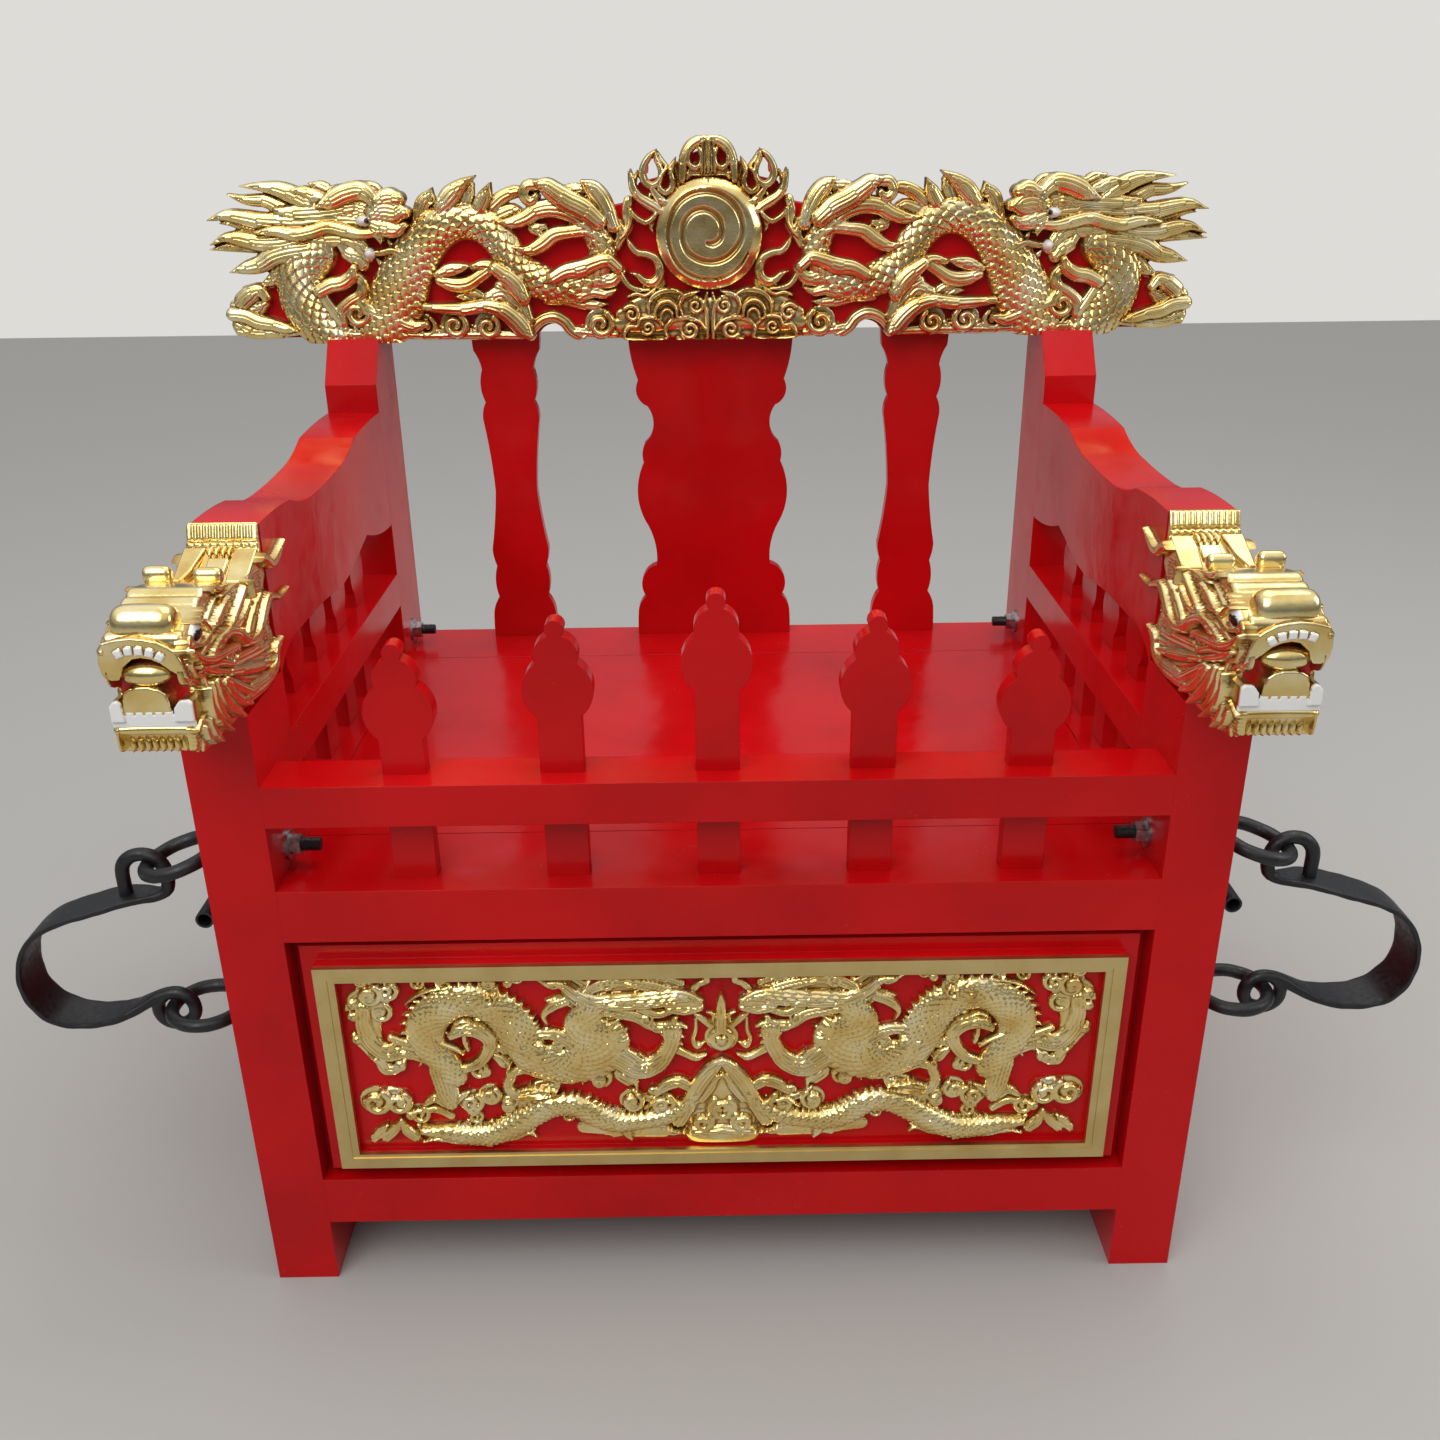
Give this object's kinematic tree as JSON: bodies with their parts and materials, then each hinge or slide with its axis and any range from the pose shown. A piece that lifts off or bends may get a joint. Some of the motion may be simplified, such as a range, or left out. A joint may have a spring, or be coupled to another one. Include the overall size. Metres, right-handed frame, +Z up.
{
  "type": "sedan chair",
  "caption": "Red lacquered processional chair with gilt carved crest, scroll-headed arms, baluster rails and hinged iron stirrups that take carrying poles.",
  "frame": {"origin": "centre of the plan, on the floor under the feet", "axes": "+X to the chair's left hand seen from the front (picture's right), -Y out of the front, +Z up"},
  "size_m": [1.3858, 0.8261, 1.1128],
  "materials": {
    "red_lacquer": "high gloss lacquer",
    "gold_leaf": "burnished gilding over carved wood",
    "ivory_white": "white gloss paint",
    "black_iron": "black satin paint on forged iron",
    "zinc_plate": "bright zinc plate"
  },
  "bodies": {
    "chair": {"arm_left": "red_lacquer", "arm_right": "red_lacquer", "back_leg_left": "red_lacquer", "back_leg_right": "red_lacquer", "back_panel": "red_lacquer", "back_splat_centre": "red_lacquer", "back_splat_left": "red_lacquer", "back_splat_right": "red_lacquer", "crest_board": "red_lacquer", "crest_clouds": "gold_leaf", "crest_dragon_left": "gold_leaf", "crest_dragon_right": "gold_leaf", "dragon_eyes_left": "ivory_white", "dragon_eyes_right": "ivory_white", "dragon_head_left": "gold_leaf", "dragon_head_right": "gold_leaf", "dragon_teeth_left": "ivory_white", "dragon_teeth_right": "ivory_white", "dragon_tongue_left": "gold_leaf", "dragon_tongue_right": "gold_leaf", "eye_bolts_front_left": "black_iron", "eye_bolts_front_right": "black_iron", "eye_bolts_rear_left": "black_iron", "eye_bolts_rear_right": "black_iron", "front_bottom_rail": "red_lacquer", "front_gourd_balusters": "red_lacquer", "front_hand_rail": "red_lacquer", "front_leg_left": "red_lacquer", "front_leg_right": "red_lacquer", "front_panel_moulding": "red_lacquer", "front_seat_rail": "red_lacquer", "gilt_panel_frame": "gold_leaf", "nuts_left": "zinc_plate", "nuts_right": "zinc_plate", "panel_carving": "gold_leaf", "rear_bottom_rail": "red_lacquer", "rear_seat_rail": "red_lacquer", "seat_board": "red_lacquer", "seat_cleats": "red_lacquer", "side_bottom_rail_left": "red_lacquer", "side_bottom_rail_right": "red_lacquer", "side_gourd_balusters_left": "red_lacquer", "side_gourd_balusters_right": "red_lacquer", "side_hand_rail_left": "red_lacquer", "side_hand_rail_right": "red_lacquer", "side_panel_left": "red_lacquer", "side_panel_right": "red_lacquer", "side_pipe_left": "black_iron", "side_pipe_right": "black_iron", "side_seat_rail_left": "red_lacquer", "side_seat_rail_right": "red_lacquer", "sun_disc": "gold_leaf", "sun_flames": "gold_leaf", "washers_left": "zinc_plate", "washers_right": "zinc_plate"},
    "strap_front_left_body": {"strap_front_left": "black_iron"},
    "strap_front_right_body": {"strap_front_right": "black_iron"},
    "strap_rear_left_body": {"strap_rear_left": "black_iron"},
    "strap_rear_right_body": {"strap_rear_right": "black_iron"}
  },
  "joints": [
    {"name": "strap_front_left_swing", "type": "hinge", "parent": "chair", "child": "strap_front_left_body", "pos_m": [-0.552, -0.246, 0.39], "axis": [0, 0, 1], "range_deg": [-20, 20]},
    {"name": "strap_front_right_swing", "type": "hinge", "parent": "chair", "child": "strap_front_right_body", "pos_m": [0.552, -0.246, 0.39], "axis": [0, 0, 1], "range_deg": [-20, 20]},
    {"name": "strap_rear_left_swing", "type": "hinge", "parent": "chair", "child": "strap_rear_left_body", "pos_m": [-0.552, 0.358, 0.39], "axis": [0, 0, 1], "range_deg": [-20, 20]},
    {"name": "strap_rear_right_swing", "type": "hinge", "parent": "chair", "child": "strap_rear_right_body", "pos_m": [0.552, 0.358, 0.39], "axis": [0, 0, 1], "range_deg": [-20, 20]}
  ]
}
